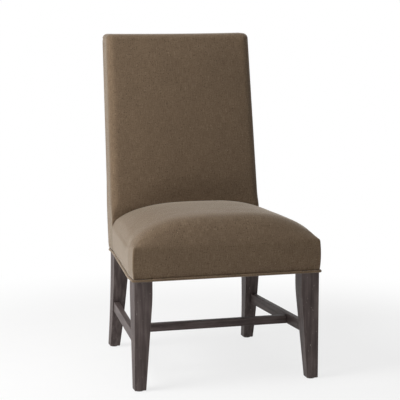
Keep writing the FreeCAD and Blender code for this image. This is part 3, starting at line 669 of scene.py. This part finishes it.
def backRear(z):
    top = backFront(back["bellyTop"]) + back["depth"]
    t = np.clip((z - back["bellyBottom"]) / (back["bellyTop"] - back["bellyBottom"]), 0, 1)
    belly = back["bellyRear"] + (top - back["bellyRear"]) * t + back["bellyBow"] * 4 * t * (1 - t)
    s = np.clip((back["bellyBottom"] - z) / (back["bellyBottom"] - back["hem"]), 0, 1)
    tuck = back["bellyRear"] - (back["bellyRear"] - back["hemRear"]) * (1 - np.sqrt(1 - s * s))
    lean = backFront(z) + back["depth"]
    return np.where(z >= back["bellyTop"], lean, np.where(z >= back["bellyBottom"], belly, tuck))


def backHalf(z):
    t = np.clip((z - back["leanStart"]) / (back["top"] - back["leanStart"]), 0, 1)
    return back["halfLow"] + (back["halfTop"] - back["halfLow"]) * t


def backSurface(x, y, z):
    half = backHalf(z)
    share = np.clip(np.abs(x) / half, 0, 1)
    rise = smoothStep(back["leanStart"], back["leanStart"] + back["endFade"], z)
    rise = rise * smoothStep(back["top"], back["top"] - back["endFade"], z)
    side = np.abs(x) - half
    front = backFront(z) - back["crown"] * (1 - share ** 2.2) * rise - y
    rear = y - backRear(z)
    top = z - back["top"] + back["topDip"] * (1 - share ** 2)
    bottom = back["hem"] - z
    # the front edges are tight beside the seat and open out above it
    opening = smoothStep(seat["edge"], seat["edge"] + back["openOver"], z)
    frontRadius = back["tightRadius"] + (back["frontRadius"] - back["tightRadius"]) * opening
    walls = roundedMeet(side, front, frontRadius)
    walls = roundedMeet(walls, rear, back["rearRadius"])
    walls = roundedMeet(walls, top, back["topRadius"])
    return roundedMeet(walls, bottom, back["hemRadius"])


def pullBack(xs, ts, zs, spots, surface):
    # lattice points by width, depth and height, pulled in to the surface
    i, j, k = spots
    heights = zs[k]
    fronts = backFront(heights)
    depths = backRear(heights) - fronts
    box = np.stack([xs[i] * backHalf(heights), fronts + ts[j] * depths, heights], axis=1)
    reach = backHalf(heights) - back["coreInset"]
    nearest, furthest = sorted((min(back["coreFront"], ts[-1] * back["depth"] * 0.6),
                                ts[0] * back["depth"] + back["coreEnd"]))
    upper = zs[-1] - min(back["coreFront"], (zs[-1] - zs[0]) / 2)
    core = np.stack([np.clip(box[:, 0], -reach, reach),
                     np.clip(box[:, 1], fronts + nearest, fronts + furthest),
                     np.clip(heights, zs[0] + back["coreEnd"], upper)], axis=1)
    # rays stay level with the lean where only the height differs
    core[:, 1] += back["slope"] * (core[:, 2] - heights) * (heights > back["leanStart"])
    return pullTo(surface, core, box), heights, fronts


def sinkSeam(points, heights, fronts, onSeam, beside):
    # the blind seam lies a little below the cloth on both sides of it
    middle = np.stack([0 * heights, fronts + back["depth"] / 2, heights], axis=1)
    inward = middle - points
    inward[:, 0] *= np.abs(points[:, 0]) > backHalf(heights) - 20
    inward[:, 1] *= points[:, 1] > middle[:, 1] + 30
    inward /= np.maximum(1e-6, np.linalg.norm(inward, axis=1))[:, None]
    depth = np.where(onSeam, back["seamDepth"], np.where(beside, back["besideDepth"], 0))
    return points + inward * depth[:, None]


def backCloth(points, heights, fronts, faceMasks, isInside):
    # flat coordinates: the inside cover runs up, over the top and down behind, and round
    # the sides from the front; the outside panel runs round them from behind
    onSide, onTop, onBottom, behind = faceMasks
    reach = points[:, 1] - fronts
    aside = reach if isInside else back["depth"] - reach
    turned = np.sign(points[:, 0]) * (back["halfLow"] + aside)
    across = np.where(onSide, turned, points[:, 0])
    along = np.where(behind & isInside, 2 * back["top"] + back["depth"] - points[:, 2], points[:, 2])
    along = np.where(onBottom, back["hem"] - backRear(heights) + points[:, 1], along)
    along = np.where(onTop, back["top"] + reach, along)
    along = np.where(onSide, points[:, 2], along)
    return np.stack([across, along, 0 * heights], axis=1) * mm


def makeBackCovers():
    half, depth = back["halfLow"], back["depth"]
    xs = gridLines(-half, half, back["step"], edge=35) / half
    ts = gridLines(0, depth, back["step"] * 0.6, edge=28) / depth
    seamShare = 1 - back["seamWrap"] / depth
    legDepth = float(backRear(np.array(back["legCutHeight"]))) - back["front"]
    legShare = (back["legRear"] - back["front"]) / legDepth
    ts = withLines(ts, (seamShare, legShare))
    seamJ, legJ = (nearestLine(ts, share) for share in (seamShare, legShare))
    zs = gridLines(back["hem"], back["top"], back["step"], edge=28)
    levels = (back["sideBottom"], back["frontBottom"], back["seamTop"])
    zs = withLines(zs, levels)
    sideK, frontK, seamK = (nearestLine(zs, level) for level in levels)
    lastI, lastJ, lastK = len(xs) - 1, len(ts) - 1, len(zs) - 1

    def outside(side, i, j, k):
        if side == "rear":
            return k < seamK
        if side in ("left", "right"):
            return j >= seamJ and k < seamK
        return side == "bottom" and j >= legJ

    def inside(side, i, j, k):
        if side == "front":
            return k >= frontK
        if side in ("left", "right"):
            low = 0 if j >= legJ else sideK
            return low <= k and (j < seamJ or k >= seamK)
        return side == "top" or (side == "rear" and k >= seamK)

    for name, wanted, node in (("insideBackCover", inside, "back_cover"),
                               ("outsideBackPanel", outside, "outside_back_cover")):
        (i, j, k), faces = boxShell((len(xs), len(ts), len(zs)), wanted)
        points, heights, fronts = pullBack(xs, ts, zs, (i, j, k), backSurface)
        onSeam = ((j == seamJ) & (k <= seamK)) | ((k == seamK) & (j >= seamJ))
        beside = ((abs(j - seamJ) == 1) & (k < seamK)) | ((abs(k - seamK) == 1) & (j >= seamJ))
        points = sinkSeam(points, heights, fronts, onSeam, beside)
        facing = np.where(j == 0, -1.0, np.where(j == lastJ, 1.0, 0.0))
        fade = smoothStep(half, half - 60, np.abs(points[:, 0]))
        points[:, 1] += ripple(points, back["ripples"]) * facing * fade
        faceMasks = ((i == 0) | (i == lastI), k == lastK, k == 0, j == lastJ)
        cloth = backCloth(points, heights, fronts, faceMasks, wanted is inside)
        piece = meshPiece(name, points, faces, coverCloth, cloth)
        sewn = onSeam | beside | (heights < seat["edge"])
        settleCloth(piece, sewn, back["swellCap"], back["swellRounds"])
        thicken(piece, clothThickness, -1)
        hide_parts(node)


def makeBackFoam():
    # the pad on the front of the posts, and its turn over the top rail, in one mesh
    points, faces = [], []
    postGap = back["foamDepth"] - back["foamGap"]

    def slab(x, y, z):
        limit = np.maximum(y - backFront(z) - postGap, seat["foamBottom"] - z)
        return roundedMeet(backSurface(x, y, z) + back["foamInset"], limit, 2.0)

    def overTop(x, y, z):
        limit = np.maximum(backFront(z) + postGap - y, back["postTop"] - z)
        return roundedMeet(backSurface(x, y, z) + back["foamInset"], limit, 2.0)

    xs = gridLines(-back["halfLow"], back["halfLow"], back["step"] * 1.5, edge=35) / back["halfLow"]
    split = postGap / back["depth"]
    for surface, ts, low in ((slab, np.linspace(0, split, 7), seat["foamBottom"]),
                             (overTop, np.linspace(split, 1, 9), back["postTop"])):
        zs = gridLines(low, back["top"], back["step"] * 1.5, edge=10)
        spots, quads = boxShell((len(xs), len(ts), len(zs)), lambda side, i, j, k: True)
        shell, _, _ = pullBack(xs, ts, zs, spots, surface)
        faces += [[n + len(points) for n in quad] for quad in quads]
        points += list(shell)
    piece = meshPiece("backFoamPad", points, faces, foam)
    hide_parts("back_foam")


makeBackCovers()
makeBackFoam()
print("back made")


# The welt: bias-cut cloth round a cord, along the front and both sides

welt = {
    "radius": 4.0,
    "gap": 0.3,
    "bottom": 326.0,
    "cornerRadius": 7.0,
    "bendRadius": 240.0,
    "spacing": 5.0,
    "segments": 16,
    "tailInset": 1.5,
    "endShare": 0.55,
    "unevenness": 0.03,
    "rippleSize": 18.0,
}


def roundCorner(points, radii, spacing):
    # a plan route with each inner corner rounded, in steps of about spacing
    route = [points[0]]
    for before, corner, after, radius in zip(points, points[1:], points[2:], radii):
        into = (corner - before).normalized()
        out = (after - corner).normalized()
        turn = into.angle(out)
        reach = radius * math.tan(turn / 2)
        start, end = corner - into * reach, corner + out * reach
        route.append(start)
        count = max(3, round(radius * turn / spacing))
        for n in range(1, count + 1):
            t = n / count
            route.append(start * (1 - t) ** 2 + corner * 2 * t * (1 - t) + end * t ** 2)
    route.append(points[-1])
    spaced = [route[0]]
    for point in route[1:]:
        gap = (point - spaced[-1]).length
        pieces = max(1, math.ceil(gap / spacing))
        spaced += [spaced[-1].lerp(point, n / pieces) for n in range(1, pieces + 1)]
    return spaced


def makeWelt():
    out = welt["radius"] + welt["gap"]
    z = welt["bottom"] + welt["radius"]
    corners = [(legOuter + out, -out), (legOuter + out, seat["legDepth"]),
               (postOuter + out, seat["postFront"]), (postOuter + out, back["legRear"] - welt["tailInset"])]
    path = [Vector((x, y, z)) for x, y in corners]
    path = [Vector((-p.x, p.y, p.z)) for p in reversed(path)] + path
    bend, corner = welt["bendRadius"], welt["cornerRadius"]
    path = roundCorner(path, [bend, bend, corner, corner, bend, bend], welt["spacing"])
    up = Vector((0, 0, 1))
    points, cloth, faces = [], [], []
    length = 0.0
    count = welt["segments"]
    for n, centre in enumerate(path):
        along = (path[min(n + 1, len(path) - 1)] - path[max(n - 1, 0)]).normalized()
        side = along.cross(up)
        length += (centre - path[n - 1]).length if n else 0
        ends = min(n, len(path) - 1 - n)
        swollen = 1 - welt["unevenness"] * (1 - noise.noise(centre / welt["rippleSize"]))
        radius = welt["radius"] * (welt["endShare"] if ends == 0 else swollen)
        for s in range(count):
            angle = 2 * math.pi * s / count
            points.append(centre + side * radius * math.cos(angle) + up * radius * math.sin(angle))
            cloth.append((angle * welt["radius"] * mm, length * mm, 0))
        if n:
            base = (n - 1) * count
            for s in range(count):
                t = (s + 1) % count
                faces.append((base + s, base + t, base + count + t, base + count + s))
    faces.append(tuple(range(count)))
    faces.append(tuple(reversed(range(len(points) - count, len(points)))))
    piece = meshPiece("seatWelt", points, faces, biasCloth, cloth)
    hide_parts("seat_welt")


makeWelt()
print("welt made")


# The dust cover: black spunbonded cloth stapled under the seat frame

dust = {
    "inset": 4.0,
    "thickness": 0.5,
    "legGap": 1.0,
    "rearGap": 0.4,
    "frontBlockWidth": 54.0,
    "rearLegWidth": 50.0,
    "sag": 4.5,
    "sagReach": 250.0,
    "crease": 0.5,
    "fineCrease": 0.25,
    "stapleSpacing": 42.0,
    "stapleWidth": 11.0,
    "stapleWire": 0.9,
    "stapleInset": 11.0,
    "stapleSkew": 0.12,
    "frontRow": 200.0,
    "rearRow": 170.0,
    "sideRowStart": 16.0,
}


def rearCutY():
    return seat["postFront"] - dust["legGap"]


def makeDustCover():
    inset = dust["inset"]
    endY = back["legRear"] - dust["rearGap"] - inset
    frontNotch = (legOuter - dust["frontBlockWidth"] - dust["legGap"]) / (legOuter - inset)
    rearNotch = (postOuter - dust["rearLegWidth"] - dust["legGap"]) / (postOuter - inset)
    ss = withLines(np.linspace(-1, 1, 61), (-frontNotch, -rearNotch, rearNotch, frontNotch))
    frontCut = seat["legDepth"] + dust["legGap"]
    ys = withLines(np.linspace(inset, endY, 57), (frontCut, rearCutY()))

    def place(s, y):
        half = seatHalf(y) - clothOut - inset
        edge = min(1 - abs(s), (y - inset) / dust["sagReach"], (endY - y) / dust["sagReach"])
        sag = dust["sag"] * float(smoothStep(0, 0.8, edge))
        crease = dust["crease"] * noise.noise(Vector((s * 6, y / 50, 2)))
        crease += dust["fineCrease"] * noise.noise(Vector((s * 20, y / 18, 5)))
        drop = dust["thickness"] / 2 + 0.05 + sag + crease * float(smoothStep(0, 0.15, edge))
        return (s * float(half), y, railBottom - drop)

    def inNotch(s, y):
        return (abs(s) > frontNotch and y < frontCut) or (abs(s) > rearNotch and y > rearCutY())

    index, points, faces = {}, [], []
    for i in range(len(ss) - 1):
        for j in range(len(ys) - 1):
            if inNotch((ss[i] + ss[i + 1]) / 2, (ys[j] + ys[j + 1]) / 2):
                continue
            face = []
            for a, b in ((i, j), (i, j + 1), (i + 1, j + 1), (i + 1, j)):
                if (a, b) not in index:
                    index[(a, b)] = len(points)
                    points.append(place(ss[a], float(ys[b])))
                face.append(index[(a, b)])
            faces.append(face)
    piece = meshPiece("dustCover", points, faces, cambric)
    thicken(piece, dust["thickness"], 0)
    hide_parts("dust_cover")


def makeStaples():
    # the crown of each staple lies on the cloth under a rail, its legs are in the wood
    wire = dust["stapleWire"]
    top = railBottom - dust["thickness"]
    rows = []
    rearY = back["legRear"] - dust["rearGap"] - dust["stapleInset"]
    for y, reach in ((dust["stapleInset"], dust["frontRow"]), (rearY, dust["rearRow"])):
        count = round(2 * reach / dust["stapleSpacing"])
        rows += [(-reach + 2 * reach * n / count, y, 0.0) for n in range(count + 1)]
    slant = math.atan2(legOuter - postOuter, seat["postFront"] - seat["legDepth"])
    sideRow = rearCutY() - seat["legDepth"] - 2 * dust["sideRowStart"]
    count = round(sideRow / dust["stapleSpacing"])
    for n in range(count + 1):
        y = seat["legDepth"] + dust["sideRowStart"] + sideRow * n / count
        x = float(seatHalf(y)) - clothOut - dust["stapleInset"]
        rows += [(x, y, math.pi / 2 + slant), (-x, y, math.pi / 2 - slant)]
    points, faces = [], []
    for x, y, angle in rows:
        angle += random.uniform(-dust["stapleSkew"], dust["stapleSkew"])
        along = Vector((math.cos(angle), math.sin(angle), 0)) * dust["stapleWidth"] / 2
        side = Vector((-math.sin(angle), math.cos(angle), 0)) * wire / 2
        middle = Vector((x, y, top))
        ring = []
        for end, drop in ((-1.0, 0.0), (-0.9, -wire), (0.9, -wire), (1.0, 0.0)):
            base = middle + along * end + Vector((0, 0, drop))
            thick = Vector((0, 0, wire * 0.5)) if drop else Vector((0, 0, wire * 0.2))
            ring.append([base - side, base + side, base + side + thick, base - side + thick])
        first = len(points)
        for section in ring:
            points += section
        for n in range(3):
            a = first + 4 * n
            for s in range(4):
                t = (s + 1) % 4
                faces.append((a + s, a + 4 + s, a + 4 + t, a + t))
        faces.append((first, first + 1, first + 2, first + 3))
        last = first + 12
        faces.append((last + 3, last + 2, last + 1, last))
    piece = meshPiece("dustCoverStaples", points, faces, zinc)
    piece.data.polygons.foreach_set("use_smooth", [False] * len(piece.data.polygons))


makeDustCover()
makeStaples()
print("dust cover made")


# The wooden pieces and what is sealed inside keep their CAD shape

bothSides = ("left", "right")
cadFinish = (
    (legWood, ["front_leg_" + side for side in bothSides] + ["rear_post_" + side for side in bothSides]),
    (sideWood, ["side_stretcher_" + side for side in bothSides]),
    (crossWood, ["cross_stretcher"]),
    (beech, ["side_seat_rail_" + side for side in bothSides]),
    (beech, ["corner_block_%s_%s" % (end, side) for end in ("front", "rear") for side in bothSides]),
    (beech, ["front_seat_rail", "rear_seat_rail", "crest_rail", "lower_back_rail"]),
    (zinc, ["corner_block_screws"]),
    (polyethylene, ["leg_glides"]),
    (jute, ["seat_webbing_lengthwise", "seat_webbing_crosswise", "back_webbing"]),
    (cotton, ["seat_deck_cloth"]),
    (foam, ["seat_foam", "back_foam"]),
    (board, ["back_liner", "outside_back_tack_strip"]),
    (batting, ["outside_back_batting"]),
)


def roundArrises(piece):
    # merged seams, then sanded arrises
    weld = piece.modifiers.new("merged", "WELD")
    weld.merge_threshold = 0.01 * mm
    bevel = piece.modifiers.new("arris", "BEVEL")
    bevel.width = wood["arris"] * mm
    bevel.segments = 3
    bevel.limit_method = "ANGLE"
    bevel.angle_limit = math.radians(25)
    bevel.harden_normals = True


def finishCadNodes():
    for material, nodes in cadFinish:
        for node in nodes:
            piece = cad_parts[node]
            piece.data.materials.clear()
            piece.data.materials.append(material)
            if material in (legWood, sideWood, crossWood):
                roundArrises(piece)


finishCadNodes()
print("frame finished")


# Floor, light and camera

stage = {
    "skyStrength": 0.135,
    "floorHalf": 30.0,
    "nearFloor": 0.7,
    "farFloor": 1.5,
    "shadowShown": 0.22,
    "lampAim": (0.0, 0.0, 0.5),
}

lamps = {
    "keyLight": {"place": (-2.2, -0.6, 2.6), "size": 1.6, "power": 63.0},
    "topLight": {"place": (0.0, 0.0, 3.2), "size": 2.4, "power": 11.5},
    "sideLight": {"place": (-1.6, -0.2, 0.9), "size": 1.0, "power": 7.9},
    "lowLight": {"place": (-0.9, -2.4, 0.25), "size": 0.6, "power": 6.2},
}


def whiteToCamera(tree, shade, share=None):
    # what the camera, gloss and glass see is lifted towards white; the light stays as it is
    path = addNode(tree, "ShaderNodeLightPath").outputs
    seen = addMath(tree, "MAXIMUM", links={0: path["Is Camera Ray"], 1: path["Is Glossy Ray"]})
    seen = addMath(tree, "MAXIMUM", links={0: seen, 1: path["Is Transmission Ray"]})
    if share is not None:
        seen = addMath(tree, "MULTIPLY", links={0: seen, 1: share})
    glow = addNode(tree, "ShaderNodeEmission", values={"Strength": 1.0, "Color": (1, 1, 1, 1)})
    return addNode(tree, "ShaderNodeMixShader",
                   links={0: seen, 1: shade, 2: glow.outputs["Emission"]})


def makeFloor():
    half = stage["floorHalf"]
    corners = [(-half, -half, 0), (half, -half, 0), (half, half, 0), (-half, half, 0)]
    mesh = bpy.data.meshes.new("floor")
    mesh.from_pydata(corners, [], [(0, 1, 2, 3)])
    floor = bpy.data.objects.new("floor", mesh)
    bpy.context.scene.collection.objects.link(floor)
    # Matt painted board: near white, with a very faint unevenness and almost no gloss
    material, tree = newMaterial("pale studio floor")
    place = addNode(tree, "ShaderNodeTexCoord")
    grain = addNode(tree, "ShaderNodeTexNoise", values={"Scale": 9.0, "Detail": 3.0},
                    links={"Vector": place.outputs["Object"]})
    colour = addRamp(tree, grain.outputs["Fac"], "#f3f3f2", "#fbfbfa")
    shader = addNode(tree, "ShaderNodeBsdfPrincipled", values={"Roughness": 0.8, "Specular IOR Level": 0.1},
                     links={"Base Color": colour})
    # white further out, so that the floor runs into the background without a line
    far = addNode(tree, "ShaderNodeVectorMath", {"operation": "LENGTH"}, links={0: place.outputs["Object"]})
    share = addNode(tree, "ShaderNodeMapRange", {"interpolation_type": "SMOOTHSTEP"},
                    {"From Min": stage["nearFloor"], "From Max": stage["farFloor"],
                     "To Min": 1 - stage["shadowShown"]}, {"Value": far.outputs["Value"]})
    mixed = whiteToCamera(tree, shader.outputs["BSDF"], share.outputs["Result"])
    addNode(tree, "ShaderNodeOutputMaterial", links={"Surface": mixed.outputs["Shader"]})
    floor.data.materials.append(material)


def makeLight(name, place, size, power):
    lamp = bpy.data.lights.new(name, "AREA")
    lamp.shape = "DISK"
    lamp.size = size
    lamp.energy = power
    light = bpy.data.objects.new(name, lamp)
    bpy.context.scene.collection.objects.link(light)
    light.location = place
    aim = Vector(stage["lampAim"]) - Vector(place)
    light.rotation_euler = aim.to_track_quat("-Z", "Y").to_euler()


def makeSky():
    world = bpy.data.worlds.new("studio")
    bpy.context.scene.world = world
    world.use_nodes = True
    tree = world.node_tree
    tree.nodes.clear()
    air = addNode(tree, "ShaderNodeBackground",
                  values={"Color": (1, 1, 1, 1), "Strength": stage["skyStrength"]})
    mixed = whiteToCamera(tree, air.outputs["Background"])
    addNode(tree, "ShaderNodeOutputWorld", links={"Surface": mixed.outputs["Shader"]})


# The photograph's view, worked out from the chair's edges in its 400 x 400 frame
view = {
    "lens": 128.06,
    "sensor": 36.0,
    "aim": (1.6, 320.2, 508.5),
    "distance": 4.4444,
    "azimuth": -15.28,
    "elevation": 8.53,
}


def makeCamera():
    x, y, z = view["aim"]
    aim = Vector((x * mm, (y + frontFace) * mm, z * mm))
    turn = math.radians(view["azimuth"])
    rise = math.radians(view["elevation"])
    level = math.cos(rise)
    away = Vector((math.sin(turn) * level, -math.cos(turn) * level, math.sin(rise)))
    data = bpy.data.cameras.new("camera")
    data.lens = view["lens"]
    data.sensor_width = view["sensor"]
    camera = bpy.data.objects.new("camera", data)
    bpy.context.scene.collection.objects.link(camera)
    camera.location = aim + away * view["distance"]
    camera.rotation_euler = (-away).to_track_quat("-Z", "Y").to_euler()
    bpy.context.scene.camera = camera


makeFloor()
for name, lamp in lamps.items():
    makeLight(name, **lamp)
makeSky()
makeCamera()
bpy.context.scene.view_settings.view_transform = "Standard"
print("stage ready")
